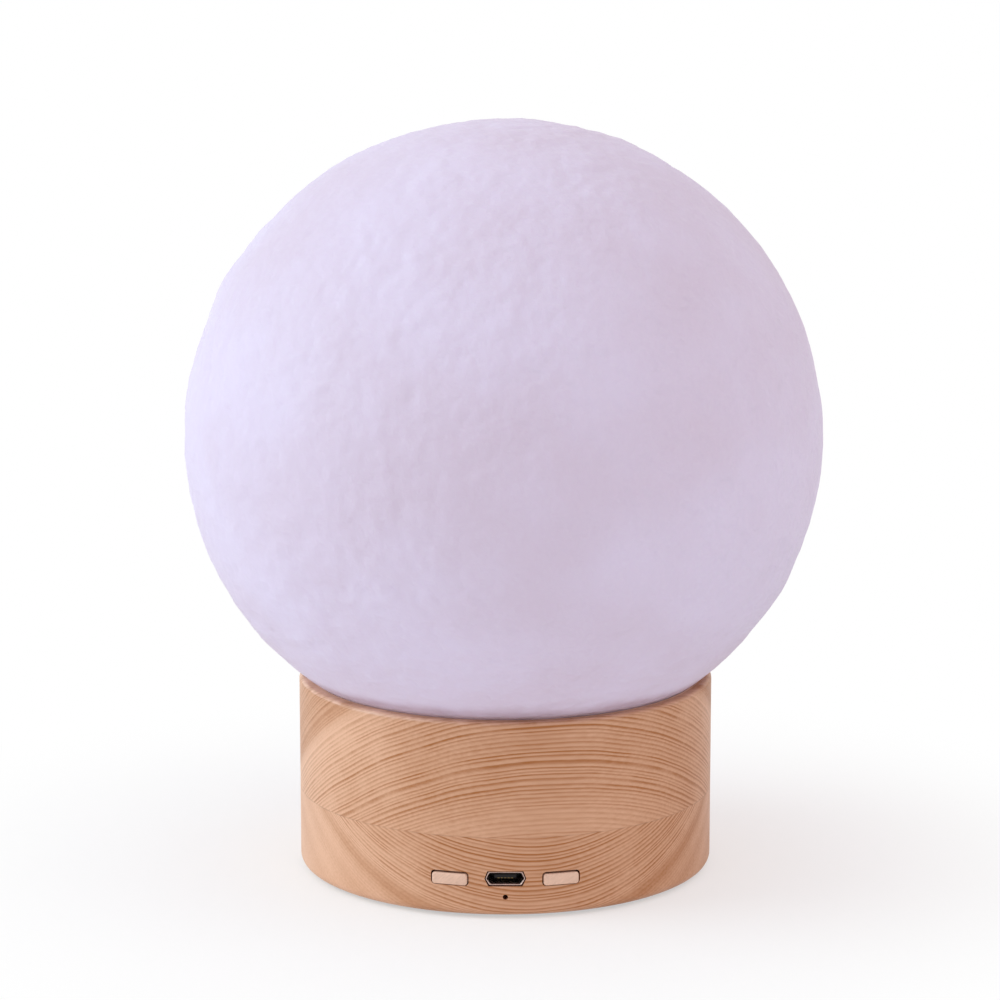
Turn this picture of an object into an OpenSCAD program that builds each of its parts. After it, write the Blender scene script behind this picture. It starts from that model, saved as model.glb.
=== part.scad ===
// Moon lamp: a cratered globe that sits in the dish of a round base turned from two glued boards.
// The base holds a flat battery and a control board with a charging port and two push buttons.
// Origin: centre of the feet's undersides. Port and buttons face -Y. Lengths in millimetres.

/* [Globe] */
// Diameter of the globe across its middle
globe_d = 124.4; // [118:0.2:130]
// Wall of the globe
globe_wall = 2; // [1.6:0.1:2.6]
// How much smaller than the globe's radius the arc of its lower part is
tuck = 8.5; // [6:0.5:10]
// Angle up from straight down at which that arc begins
tuck_angle = 66; // [60:1:70]
// Bore of the globe's neck
neck_d = 42; // [38:0.5:44]
// Wall of the neck
neck_wall = 2.4; // [2:0.1:3]
// How far the neck stands below the shell
neck_drop = 1.9; // [1.5:0.1:2.5]

/* [Craters] */
// Number of craters in the globe
crater_count = 30; // [0:1:44]
// Width of the narrowest crater
crater_min_d = 6; // [4:0.5:8]
// Width of the widest crater
crater_max_d = 15; // [10:0.5:17]
// Depth of a crater below its own edge
crater_depth = 0.35; // [0.2:0.05:0.5]
// How far down from the top the craters reach, as an angle
crater_reach = 122; // [90:1:130]

/* [Base] */
// Diameter of the wooden base
base_d = 82; // [80:0.5:86]
// Height of the wooden base
base_h = 38.1; // [37:0.1:42]
// Thickness of the lower of its two boards
lower_board_h = 15.6; // [14:0.1:17]
// Radius of the rounded bottom edge
bottom_round = 1.6; // [1:0.1:2]
// Radius of the eased top edge
top_round = 0.9; // [0.5:0.1:1.2]
// Flat rim around the dish
rim_w = 2.5; // [2:0.1:3.5]
// Gap between the dish and the globe
dish_gap = 0.4; // [0.3:0.05:0.8]
// Wood between the globe's collar and the hollow
dish_floor_t = 7.5; // [6:0.1:8]

/* [Hollow] */
// Wood outside the bottom plate
plate_rim_w = 2.6; // [2.4:0.1:2.9]
// Shoulder that the bottom plate seats on
shoulder_w = 3.9; // [3.7:0.1:4.3]
// Ledge that the control board seats on
ledge_w = 4; // [3.8:0.1:4.4]
// Wood in front of the control board
front_wall = 3; // [3:0.1:3.4]
// Wood around the charging port
port_wall = 1.6; // [1.2:0.1:2]
// Gap between a button's flange and the side of the pocket behind the front wall
pocket_side_gap = 1.5; // [1:0.1:2.5]
// Height of that pocket above the wood's underside
pocket_h = 12; // [11:0.1:13.5]
// Hole through the wood for the leads
lead_hole_d = 10; // [8:0.5:12]

/* [Bottom plate and feet] */
// Thickness of the bottom plate
plate_t = 1.8; // [1.6:0.1:2]
// How far the plate lies inside the wood's underside
plate_inset = 0.3; // [0.2:0.1:0.5]
// Gap around the plate
plate_gap = 0.3; // [0.2:0.05:0.5]
// Diameter of a foot
foot_d = 9; // [7:0.5:11]
// How far the feet hold the wood off the table
foot_gap = 0.6; // [0.4:0.1:1]
// Depth of the recess that a foot is bonded in
foot_seat = 0.8; // [0.5:0.1:1]
// Plate left outside a foot
foot_margin = 5.9; // [5:0.1:8]
// Diameter of the plate screws' shanks
plate_screw_d = 2; // [1.8:0.1:2.2]
// Length of the plate screws' shanks
plate_screw_l = 8; // [6:0.5:10]

/* [Port, buttons and status light] */
// Height of the port's centre above the wood's underside
port_z = 7.46; // [7.4:0.02:8.4]
// Width of the port's opening
port_w = 6.9; // [6.8:0.05:7]
// Height of the port's opening
port_h = 1.9; // [1.8:0.05:2]
// Sheet that the port's shell is folded from
port_sheet = 0.25; // [0.2:0.05:0.35]
// How far the shell's flared mouth stands out all round
port_flare = 0.15; // [0.1:0.05:0.3]
// Length of the port's shell
port_l = 5.6; // [5:0.1:6.5]
// How far the port's mouth lies inside the wood's face
port_inset = 0.3; // [0.1:0.05:0.6]
// Distance of a button's middle from the port's axis
button_place = 10.7; // [10.6:0.1:11.5]
// Width of a button's face
button_w = 7; // [6.4:0.1:7.2]
// Height of a button's face
button_h = 2.3; // [2:0.1:2.6]
// Corner radius of a button
button_round = 0.55; // [0.3:0.05:0.8]
// Chamfer around a button's face
button_edge = 0.3; // [0.1:0.05:0.5]
// How far a button stands out of the wood
button_proud = 0.2; // [0:0.05:0.5]
// How far a button travels
button_travel = 0.35; // [0.2:0.05:0.45]
// Gap around a button in its slot
button_gap = 0.25; // [0.15:0.05:0.35]
// Width of the flange that keeps a button in
button_flange_w = 0.8; // [0.6:0.1:1]
// Diameter of the hole in front of the status light
pinhole_d = 1; // [0.8:0.1:1.4]

/* [Control board] */
// Thickness of the control board
board_t = 1.2; // [1:0.1:1.4]
// Distance of the board's back edge from the lamp's axis
board_back = 13; // [12:0.5:14]
// Gap between the board and the wood around it
board_gap = 0.5; // [0.3:0.1:0.8]
// Gap between the board's front part and the sides of the pocket
board_side_gap = 1.2; // [0.8:0.1:2]
// Width of a switch
switch_w = 4; // [3.6:0.1:4.2]
// Depth of a switch from front to back
switch_depth = 3; // [2.6:0.1:3.4]
// Height of a switch
switch_h = 2; // [1.8:0.1:2.2]
// Height of the status light's body
status_h = 2.4; // [2:0.1:2.5]
// Distance between the pins of a plug
plug_pitch = 2; // [1.8:0.1:2.2]
// Board left behind the sockets
socket_margin = 3.7; // [3:0.1:5]
// Gap between the two sockets
socket_gap = 4; // [3:0.5:5]

/* [Battery] */
// Gap between the battery's rear corners and the wood around it
battery_side_gap = 2.1; // [1.5:0.1:5]
// Gap between the battery and the edge of the control board
battery_board_gap = 2; // [1:0.1:3]
// Width of the battery
battery_w = 29; // [24:1:30]
// Thickness of the battery
battery_t = 8; // [6:0.5:9]
// Thickness of the foam under it
pad_t = 0.8; // [0.5:0.1:1.2]

/* [Lamp and collar] */
// Thickness of the collar's flange
flange_t = 1.6; // [1.2:0.1:2]
// Width of the flange outside the neck
flange_lip = 0.8; // [0.5:0.1:1.2]
// Gap between the neck and the collar's spigot
neck_gap = 0.3; // [0.25:0.05:0.4]
// Wall of the spigot
spigot_t = 2; // [1.6:0.1:2.4]
// Height of the spigot above the flange
spigot_h = 5.5; // [5:0.1:7]
// Height of the posts under the lamp board
post_h = 2; // [1.6:0.1:2.6]
// Distance of the posts from the lamp's axis
post_r = 14; // [13.5:0.1:14.3]
// Diameter of the lamp board
lamp_board_d = 34; // [33:0.5:35]
// Thickness of the lamp board
lamp_board_t = 1.6; // [1:0.1:2]
// Number of lights on the lamp board
light_count = 8; // [6:1:10]
// Distance of the lights from the lamp's axis
light_ring_r = 8.8; // [8:0.1:9.2]

/* [Hidden] */

$fn = 96;
wood = [0.83, 0.66, 0.53];
steel = [0.75, 0.75, 0.77];
off_white = [0.93, 0.92, 0.88];
past = 1;      // how far a cut runs past the face it opens
snug = 0.1;    // gap between a small piece and the pocket that locates it
tiny = 0.01;

// Heights from the table up
wood_z = foot_gap;
seam_z = wood_z + lower_board_h;
top_z = wood_z + base_h;
plate_z = wood_z + plate_inset;
shoulder_z = plate_z + plate_t;
pocket_z = wood_z + pocket_h;
port_axis_z = wood_z + port_z;
board_top_z = port_axis_z - port_h / 2 - port_sheet;
board_z = board_top_z - board_t;
button_z = board_top_z + switch_h / 2;
pinhole_z = board_z - status_h / 2;

// Distances from the lamp's axis out to the base's walls
base_r = base_d / 2;
dish_edge_r = base_r - rim_w;
plate_recess_r = base_r - plate_rim_w;
board_recess_r = plate_recess_r - shoulder_w;
hollow_r = board_recess_r - ledge_w;
pocket_r = base_r - front_wall;
ledge_mid_r = board_recess_r - ledge_w / 2;

// The globe's round, the lower arc that is tangent to it, and how deep they sit in the dish
globe_r = globe_d / 2;
lower_r = globe_r - tuck;
lower_x = tuck * sin(tuck_angle);
dish_r = lower_r + dish_gap;
lower_z = top_z + sqrt(dish_r ^ 2 - (dish_edge_r - lower_x) ^ 2);
globe_z = lower_z + tuck * cos(tuck_angle);
neck_r = neck_d / 2;
neck_outer_r = neck_r + neck_wall;
shell_under_neck_z = lower_z - sqrt(lower_r ^ 2 - (neck_outer_r - lower_x) ^ 2);
neck_z = shell_under_neck_z - neck_drop;

// The collar under the neck, and the lamp board on its posts
collar_z = neck_z - flange_t;
flange_r = neck_outer_r + flange_lip;
collar_gap = 0.4;
collar_recess_r = flange_r + collar_gap;
collar_hole_r = lead_hole_d / 2 + 1;
spigot_r = neck_r - neck_gap;
ceiling_z = collar_z - dish_floor_t;
lamp_board_z = neck_z + post_h;
lamp_board_top_z = lamp_board_z + lamp_board_t;
post_d = 4.4;
lamp_screw_angles = [30, 150, 270];
collar_screw_angles = [90, 210, 330];
lamp_screw_d = 2;
lamp_screw_l = 4.5;
lamp_screw_head_d = 3.6;
lamp_screw_head_t = 1.3;
collar_screw_d = 2.4;
collar_screw_bite = 2.8;
collar_screw_head_d = 4.4;
collar_screw_head_t = 1.5;
screw_end_gap = 0.2;
light_size = [3.5, 2.8, 0.8];
light_window_d = 2.2;
light_window_t = 0.2;

// Buttons: the flange stops behind the curved wall, and its boss rests on the switch plunger
button_angle = asin(button_place / base_r);
button_flange_t = 0.8;
button_flange_half_w = button_w / 2 + button_flange_w;
button_stop_gap = 0.25;
button_front_r = base_r + button_proud;
button_flange_r = sqrt(pocket_r ^ 2 - button_flange_half_w ^ 2) - button_stop_gap;
button_back_r = button_flange_r - button_flange_t;
pocket_half_angle = button_angle
    + asin((button_flange_half_w + pocket_side_gap) / button_flange_r);
button_board_gap = 0.3;
board_edge_r = button_back_r - button_travel - button_board_gap;
switch_set_back = 0.6;
switch_front_r = board_edge_r - switch_set_back;
plunger_out = 0.85;
plunger_front_r = switch_front_r + plunger_out;
plunger_in = 1.2;
plunger_w = 1.6;
plunger_h = 1.1;
boss_w = 2.2;
boss_h = 1.5;

// Port
port_front_y = -(base_r - port_inset);
port_back_y = port_front_y + port_l;
port_top_cut = 0.55;
port_bottom_cut = 0.75;
port_hole_gap = 0.15;
mouth_l = 0.5;
ear = [1.4, 1.6];
ear_y = port_back_y - 3.2;
insert_t = 1.2;
tongue_w = 4.2;
tongue_t = 0.65;
tongue_set_back = 0.8;
contact_set_back = 1;
contact_pitch = 0.65;
contact_w = 0.34;
contact_t = 0.12;
contact_drop = contact_t + 0.05;
notch_y = -(base_r - port_wall);
notch_half_w = 5;
notch_above = 2.5;
tab_gap = 0.4;
tab_front_gap = 0.3;
tab_half_w = notch_half_w - tab_gap;

// Control board: outline, screws, sockets
board_front_half_w = (board_recess_r - board_gap) * sin(pocket_half_angle) - board_side_gap;
board_lap = 2;
board_screw_angles = [270 - 52, 270 + 52];
board_screw_d = 1.8;
board_screw_l = 6;
board_screw_head_d = 3;
board_screw_head_t = 1.1;
socket_depth = 4.6;
socket_h = 5;
socket_wall = 0.6;
socket_y = -(board_back + socket_margin + socket_depth / 2);
plug_side = 1.2;
battery_socket_x = socket_w(3) / 2 + socket_gap + socket_w(2) / 2;
plug_top_z = board_top_z + socket_wall + socket_h;

// What is soldered on the board, by its distance inside the hollow's wall and angle from the port
status_lens_r = 0.7;
status_w = 3;
status_depth = 1.4;
status_gap = 0.3;
chip_size = [4.9, 3.9, 1.4];
chip_lift = 0.1;
chip_at = on_board(5.6, -29);
leg_pitch = 1.27;
leg_w = 0.4;
leg_t = 0.15;
leg_out = 0.35;
leg_foot = 0.7;
leg_h = 0.75;
inductor_w = 5;
inductor_base_t = 0.6;
inductor_core_d = 3.2;
inductor_core_h = 1.5;
inductor_top_d = 4.8;
inductor_top_t = 0.5;
inductor_at = on_board(4.2, -46);
capacitor_size = [2, 1.2, 0.9];
capacitors_at = [on_board(3.7, -14), on_board(0.9, -12.6), on_board(2.6, 14.5), on_board(5, 16),
    on_board(1.9, -36), on_board(2.2, 40)];

// Battery and leads
pad_z = shoulder_z;
battery_z = pad_z + pad_t;
battery_front_y = -(board_back - battery_board_gap);
battery_mid_y = battery_front_y + battery_w / 2;
battery_half_l = sqrt((hollow_r - battery_side_gap) ^ 2 - (battery_front_y + battery_w) ^ 2);
battery_round = 2;
cradle_gap = 0.3;
cradle_t = 1.2;
cradle_h = 4;
cradle_l = 7;
lead_d = 1.2;
lead_bend_r = 1.5;
lead_rise = 3.9;
lead_run_z = plug_top_z + lead_rise;
lead_exit_z = battery_z + battery_t - 1.5;
lead_exit_y = battery_front_y - 1.8;

// Feet and plate screws
foot_angles = [45, 135, 225, 315];
foot_place_r = plate_recess_r - foot_margin - foot_d / 2;
plate_screw_angles = [50, 130, 230, 310];
plate_head_d = 3.4;
plate_head_t = 1;
plate_head_gap = 0.15;
plate_head_margin = 0.25;
plate_screw_r = plate_recess_r - plate_gap - plate_head_margin - plate_head_gap - plate_head_d / 2;

// ---------- helpers ----------

function arc(x, y, r, from, to, steps = 8) =
    [for (i = [0:steps]) let (a = from + (to - from) * i / steps) [x + r * cos(a), y + r * sin(a)]];

function rounded_box(w, h, r) = concat(
    arc(w / 2 - r, h / 2 - r, r, 0, 90, 5), arc(r - w / 2, h / 2 - r, r, 90, 180, 5),
    arc(r - w / 2, r - h / 2, r, 180, 270, 5), arc(w / 2 - r, r - h / 2, r, 270, 360, 5));

// The port's six-sided outline, widest at mid height, grown all round by some margin
function port_outline(grow) =
    let (w = port_w / 2 + grow, h = port_h / 2 + grow,
        upper = w - port_top_cut, lower = w - port_bottom_cut)
    [[-upper, h], [-w, 0], [-lower, -h], [lower, -h], [w, 0], [upper, h]];

function unit(v) = v / norm(v);

function on_board(inside, angle) = (hollow_r - inside) * [sin(angle), -cos(angle)];

// A flat outline in X and Z carried out along -Y, from one distance to another
module outward(z, from_r, to_r)
    translate([0, -from_r, z]) rotate([90, 0, 0]) linear_extrude(to_r - from_r) children();

// Turns what is drawn at the front to a button's place: -1 is the left one, 1 the right one
module at_button(side) rotate([0, 0, side * button_angle]) children();

module around(angles, r) for (a = angles) rotate([0, 0, a]) translate([r, 0, 0]) children();

// A screw with its head's underside at the origin and its shank downwards
module screw(d, l, head_d, head_t)
    difference() {
        union() {
            translate([0, 0, -l]) cylinder(d = d, h = l + tiny, $fn = 24);
            cylinder(d = head_d, h = head_t, $fn = 32);
        }
        for (turn = [0, 90]) rotate([0, 0, turn])
            translate([-head_d * 0.3, -head_d * 0.07, head_t * 0.45])
                cube([head_d * 0.6, head_d * 0.14, head_t]);
    }

// Where a lead's middle runs: straight from point to point, with square corners bent to a radius.
// Each entry holds a place and the direction there.
function lead_route(path, bend_r, steps = 5) =
    let (last = len(path) - 1, dirs = [for (i = [0:last - 1]) unit(path[i + 1] - path[i])])
    concat(
        [[path[0], dirs[0]]],
        [for (i = [1:last - 1], k = [0:steps])
            let (u = dirs[i - 1], v = dirs[i], a = 90 * k / steps)
            [path[i] + (v - u) * bend_r + (u * sin(a) - v * cos(a)) * bend_r,
                u * cos(a) + v * sin(a)]],
        [[path[last], dirs[last - 1]]]);

// A round lead along a route that keeps to one plane square to X
module lead(path, d, bend_r) {
    sides = 10;
    route = lead_route(path, bend_r);
    rings = len(route);
    points = [for (at = route, k = [0:sides - 1]) let (a = 360 * k / sides)
        at[0] + d / 2 * (cos(a) * [1, 0, 0] + sin(a) * cross([1, 0, 0], at[1]))];
    walls = [for (i = [0:rings - 2], k = [0:sides - 1])
        let (next = (k + 1) % sides, here = i * sides, there = here + sides)
        [here + k, there + k, there + next, here + next]];
    ends = [[for (k = [0:sides - 1]) k], [for (k = [sides - 1:-1:0]) (rings - 1) * sides + k]];
    polyhedron(points, concat(walls, ends));
}

// ---------- globe ----------

// Half section of the globe's outside, drawn in by some depth
module globe_section(depth) {
    split_z = globe_z - (globe_r - depth) * cos(tuck_angle);
    intersection() {
        translate([0, globe_z]) circle(globe_r - depth, $fn = 180);
        translate([0, split_z]) square(2 * globe_r);
    }
    intersection() {
        translate([lower_x, lower_z]) circle(lower_r - depth, $fn = 180);
        translate([0, split_z - 2 * globe_r]) square(2 * globe_r);
    }
}

// One shallow bowl, turned out from the top of the globe
module crater(width, away, around_axis) {
    edge_drop = sqrt(globe_r ^ 2 - (width / 2) ^ 2);
    bowl_r = (crater_depth ^ 2 + (width / 2) ^ 2) / (2 * crater_depth);
    translate([0, 0, globe_z]) rotate([0, away, around_axis])
        translate([0, 0, edge_drop - crater_depth + bowl_r]) sphere(bowl_r, $fn = 72);
}

// Craters follow a golden-angle spiral, with widths that vary from one to the next
module craters() {
    golden = 180 * (3 - sqrt(5));
    spread = rands(0, 1, max(crater_count, 1), 7);
    for (i = [0:1:crater_count - 1]) {
        away = acos(1 - (i + 0.5) / crater_count * (1 - cos(crater_reach)));
        crater(crater_min_d + (crater_max_d - crater_min_d) * spread[i] ^ 2, away, i * golden);
    }
}

module globe() color([0.9, 0.87, 0.97]) difference() {
    rotate_extrude($fn = 180) {
        difference() {
            globe_section(0);
            globe_section(globe_wall);
            translate([0, globe_z - 2 * globe_r]) square([neck_r, 2 * globe_r]);
        }
        translate([neck_r, neck_z]) square([neck_wall, neck_drop + globe_wall / 2]);
    }
    craters();
}

// ---------- wooden base ----------

module upper_board_section() difference() {
    polygon(concat(
        [[lead_hole_d / 2, top_z], [lead_hole_d / 2, ceiling_z], [hollow_r, ceiling_z],
            [hollow_r, seam_z], [base_r, seam_z]],
        arc(base_r - top_round, top_z - top_round, top_round, 0, 90)));
    translate([lower_x, lower_z]) circle(dish_r, $fn = 180);
    translate([0, collar_z]) square([collar_recess_r, base_h]);
}

module upper_board() color(wood) difference() {
    rotate_extrude($fn = 180) upper_board_section();
    around(collar_screw_angles, post_r) translate([0, 0, ceiling_z - past])
        cylinder(d = collar_screw_d + 2 * snug, h = dish_floor_t + 2 * past, $fn = 24);
}

module lower_board_section() polygon(concat(
    [[hollow_r, seam_z], [hollow_r, board_top_z], [board_recess_r, board_top_z],
        [board_recess_r, shoulder_z], [plate_recess_r, shoulder_z], [plate_recess_r, wood_z]],
    arc(base_r - bottom_round, wood_z + bottom_round, bottom_round, -90, 0),
    [[base_r, seam_z]]));

// The pocket behind the front wall, where the board's front edge, switches and port go
module front_pocket() rotate([0, 0, 270 - pocket_half_angle])
    rotate_extrude(angle = 2 * pocket_half_angle)
        translate([hollow_r - past, shoulder_z - past])
            square([pocket_r - hollow_r + past, pocket_z - shoulder_z + past]);

module port_cuts() {
    floor_z = board_z - tab_gap;
    translate([-notch_half_w, notch_y, floor_z])
        cube([2 * notch_half_w, front_wall, port_axis_z + notch_above - floor_z]);
    outward(port_axis_z, base_r - front_wall, base_r + past)
        polygon(port_outline(port_sheet + port_flare + port_hole_gap));
}

module lower_board() color(wood) difference() {
    rotate_extrude($fn = 180) lower_board_section();
    front_pocket();
    port_cuts();
    for (side = [-1, 1]) at_button(side) outward(button_z, board_recess_r, base_r + past)
        polygon(rounded_box(button_w + 2 * button_gap, button_h + 2 * button_gap,
            button_round + button_gap));
    outward(pinhole_z, board_recess_r, base_r + past) circle(d = pinhole_d, $fn = 32);
    around(plate_screw_angles, plate_screw_r) translate([0, 0, shoulder_z - past])
        cylinder(d = plate_screw_d + 2 * snug, h = plate_screw_l + past, $fn = 24);
    around(board_screw_angles, ledge_mid_r)
        translate([0, 0, board_top_z - past])
            cylinder(d = board_screw_d + 2 * snug, h = board_screw_l + past, $fn = 24);
}

// ---------- bottom plate, its screws and the feet ----------

// Corner posts that stop the battery from sliding
module cradle_corner() {
    x = battery_half_l + cradle_gap;
    y = battery_w / 2 + cradle_gap;
    translate([x, y + cradle_t - cradle_l, 0]) cube([cradle_t, cradle_l, cradle_h]);
    translate([x + cradle_t - cradle_l, y, 0]) cube([cradle_l, cradle_t, cradle_h]);
}

module bottom_plate() color([0.2, 0.2, 0.21]) difference() {
    union() {
        translate([0, 0, plate_z]) cylinder(r = plate_recess_r - plate_gap, h = plate_t, $fn = 180);
        translate([0, battery_mid_y, shoulder_z - tiny])
            for (x = [0, 1], y = [0, 1]) mirror([x, 0, 0]) mirror([0, y, 0]) cradle_corner();
    }
    around(plate_screw_angles, plate_screw_r) {
        translate([0, 0, plate_z - past])
            cylinder(d = plate_screw_d + 4 * snug, h = plate_t + 2 * past, $fn = 24);
        translate([0, 0, plate_z - past])
            cylinder(d = plate_head_d + 2 * plate_head_gap, h = plate_head_t + past, $fn = 32);
    }
    around(foot_angles, foot_place_r) translate([0, 0, plate_z - past])
        cylinder(d = foot_d + 2 * snug, h = foot_seat + past, $fn = 48);
}

module plate_screws() color(steel)
    around(plate_screw_angles, plate_screw_r) translate([0, 0, plate_z + plate_head_t])
        mirror([0, 0, 1]) screw(plate_screw_d, plate_t - plate_head_t + plate_screw_l - past,
            plate_head_d, plate_head_t);

module rubber_feet() color([0.12, 0.12, 0.12])
    around(foot_angles, foot_place_r) cylinder(d = foot_d, h = plate_z + foot_seat, $fn = 48);

// ---------- buttons and switches ----------

module button_cap(side) color([0.84, 0.69, 0.6]) at_button(side) {
    hull() {
        outward(button_z, button_flange_r - tiny, button_front_r - button_edge)
            polygon(rounded_box(button_w, button_h, button_round));
        outward(button_z, button_front_r - tiny, button_front_r)
            polygon(rounded_box(button_w - 2 * button_edge, button_h - 2 * button_edge, button_round));
    }
    outward(button_z, button_back_r, button_flange_r)
        polygon(rounded_box(button_w + 2 * button_flange_w, button_h + 2 * button_flange_w,
            button_round));
    outward(button_z, plunger_front_r, button_back_r + tiny) square([boss_w, boss_h], center = true);
}

module switch_plunger(side) color("gold") at_button(side)
    outward(button_z, switch_front_r - plunger_in, plunger_front_r)
        square([plunger_w, plunger_h], center = true);

// The well behind the plunger leaves room for its travel
module switch_housing(side) color([0.25, 0.25, 0.27]) at_button(side) difference() {
    outward(board_top_z + switch_h / 2, switch_front_r - switch_depth, switch_front_r)
        square([switch_w, switch_h], center = true);
    outward(button_z, switch_front_r - plunger_in - button_travel - snug, switch_front_r + past)
        square([plunger_w + 2 * snug, plunger_h + 2 * snug], center = true);
}

module left_button_cap() button_cap(-1);
module right_button_cap() button_cap(1);
module left_switch_plunger() switch_plunger(-1);
module right_switch_plunger() switch_plunger(1);
module left_switch_housing() switch_housing(-1);
module right_switch_housing() switch_housing(1);

// ---------- control board and what is soldered on it ----------

module board_outline() {
    intersection() {
        circle(board_recess_r - board_gap);
        translate([-base_r, -base_r]) square([base_d, base_r - board_back]);
    }
    intersection() {
        circle(board_edge_r);
        translate([-board_front_half_w, -base_r])
            square([2 * board_front_half_w, base_r - board_back - board_lap]);
    }
    translate([-tab_half_w, notch_y + tab_front_gap])
        square([2 * tab_half_w, -notch_y - board_back - board_lap]);
}

module control_board() color([0.1, 0.4, 0.24]) difference() {
    translate([0, 0, board_z]) linear_extrude(board_t) board_outline();
    around(board_screw_angles, ledge_mid_r)
        translate([0, 0, board_z - past])
            cylinder(d = board_screw_d + 4 * snug, h = board_t + 2 * past, $fn = 24);
}

module control_board_screws() color(steel)
    around(board_screw_angles, ledge_mid_r)
        translate([0, 0, board_z]) mirror([0, 0, 1])
            screw(board_screw_d, board_t + board_screw_l - past, board_screw_head_d,
                board_screw_head_t);

// The port's outline at the start of the mouth, widening by the flare at its front
module mouth(grow) hull() {
    outward(port_axis_z, -port_front_y - mouth_l, tiny - port_front_y - mouth_l)
        polygon(port_outline(grow));
    outward(port_axis_z, -port_front_y - tiny, -port_front_y)
        polygon(port_outline(grow + port_flare));
}

module port_shell() color(steel) {
    difference() {
        union() {
            outward(port_axis_z, -port_back_y, -port_front_y) polygon(port_outline(port_sheet));
            mouth(port_sheet);
        }
        outward(port_axis_z, -port_back_y - past, -port_front_y + past) polygon(port_outline(0));
        translate([0, -tiny, 0]) mouth(0);
    }
    // ears soldered flat on the board
    for (side = [0, 1]) mirror([side, 0, 0])
        translate([port_w / 2 - port_bottom_cut, ear_y, board_top_z])
            cube([ear[0], ear[1], port_sheet]);
}

module port_insert() color([0.13, 0.13, 0.14]) {
    outward(port_axis_z, -port_back_y, -port_back_y + insert_t) polygon(port_outline(-snug));
    translate([-tongue_w / 2, port_front_y + tongue_set_back, port_axis_z - contact_drop + contact_t])
        cube([tongue_w, port_l - tongue_set_back - insert_t + tiny, tongue_t]);
}

module port_contacts() color("goldenrod")
    for (i = [-2:2])
        translate([i * contact_pitch - contact_w / 2, port_front_y + contact_set_back,
            port_axis_z - contact_drop])
            cube([contact_w, port_l - contact_set_back - insert_t - snug, contact_t]);

// A side-facing light under the board, with its lens behind the pinhole
module status_led() color("honeydew") {
    front_y = -(pocket_r - status_gap - status_lens_r);
    translate([-status_w / 2, front_y, pinhole_z - status_h / 2])
        cube([status_w, status_depth, status_h]);
    translate([0, front_y, pinhole_z]) sphere(status_lens_r, $fn = 32);
}

module on_top(at) translate([at[0], at[1], board_top_z]) children();

module charge_chip() color([0.1, 0.1, 0.1]) on_top(chip_at) difference() {
    translate([-chip_size[0] / 2, -chip_size[1] / 2, chip_lift]) cube(chip_size);
    // round dimple at the first leg
    translate([0.75 - chip_size[0] / 2, 0.75 - chip_size[1] / 2, chip_size[2]])
        cylinder(d = 0.7, h = past, $fn = 24);
}

// Each leg leaves the chip's side, drops to the board and ends in a foot
module chip_legs() color(steel) on_top(chip_at)
    for (side = [0, 1], i = [-1.5:1.5]) mirror([0, side, 0])
        translate([i * leg_pitch - leg_w / 2, chip_size[1] / 2, 0]) {
            translate([0, 0, leg_h - leg_t]) cube([leg_w, leg_out + leg_t, leg_t]);
            translate([0, leg_out, 0]) cube([leg_w, leg_t, leg_h]);
            translate([0, leg_out, 0]) cube([leg_w, leg_foot, leg_t]);
        }

module power_inductor() color([0.28, 0.28, 0.3]) on_top(inductor_at) {
    translate([-inductor_w / 2, -inductor_w / 2, 0]) cube([inductor_w, inductor_w, inductor_base_t]);
    translate([0, 0, inductor_base_t - tiny])
        cylinder(d = inductor_core_d, h = inductor_core_h + 2 * tiny, $fn = 32);
    translate([0, 0, inductor_base_t + inductor_core_h])
        cylinder(d = inductor_top_d, h = inductor_top_t, $fn = 48);
}

module chip_capacitors() color([0.62, 0.5, 0.36]) for (at = capacitors_at) on_top(at)
    translate([-capacitor_size[0] / 2, -capacitor_size[1] / 2, 0]) cube(capacitor_size);

function plug_w(pins) = (pins - 1) * plug_pitch + 2 * plug_side;

function socket_w(pins) = plug_w(pins) + 2 * (socket_wall + snug);

// An upright socket, open at its top
module socket(pins) difference() {
    outer = socket_w(pins);
    translate([-outer / 2, -socket_depth / 2, 0]) cube([outer, socket_depth, socket_h]);
    translate([socket_wall - outer / 2, socket_wall - socket_depth / 2, socket_wall])
        cube([outer - 2 * socket_wall, socket_depth - 2 * socket_wall, socket_h]);
}

module plug(pins) translate([-plug_w(pins) / 2, socket_wall + snug - socket_depth / 2, socket_wall])
    cube([plug_w(pins), socket_depth - 2 * (socket_wall + snug), socket_h]);

module board_sockets() color(off_white) {
    translate([0, socket_y, board_top_z]) socket(3);
    translate([battery_socket_x, socket_y, board_top_z]) socket(2);
}

module lamp_plug() color([0.95, 0.95, 0.93]) translate([0, socket_y, board_top_z]) plug(3);

module battery_plug() color([0.95, 0.95, 0.93])
    translate([battery_socket_x, socket_y, board_top_z]) plug(2);

module lamp_leads() color("white") for (i = [-1:1]) {
    x = i * plug_pitch;
    lead([[x, 0, lamp_board_z], [x, 0, lead_run_z], [x, socket_y, lead_run_z],
        [x, socket_y, plug_top_z]], lead_d, lead_bend_r);
}

module battery_leads() color("crimson") for (i = [-0.5, 0.5]) {
    x = battery_socket_x + i * plug_pitch;
    lead([[x, battery_front_y, lead_exit_z], [x, lead_exit_y, lead_exit_z],
        [x, lead_exit_y, lead_run_z], [x, socket_y, lead_run_z], [x, socket_y, plug_top_z]],
        lead_d, lead_bend_r);
}

// ---------- battery ----------

module battery_cell() color([0.72, 0.74, 0.77]) translate([0, battery_mid_y, battery_z])
    linear_extrude(battery_t) polygon(rounded_box(2 * battery_half_l, battery_w, battery_round));

module battery_pad() color([0.15, 0.15, 0.16]) translate([0, battery_mid_y, pad_z])
    linear_extrude(pad_t)
        square([2 * (battery_half_l - battery_round), battery_w - 2 * battery_round], center = true);

// ---------- collar, lamp board and lights ----------

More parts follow.
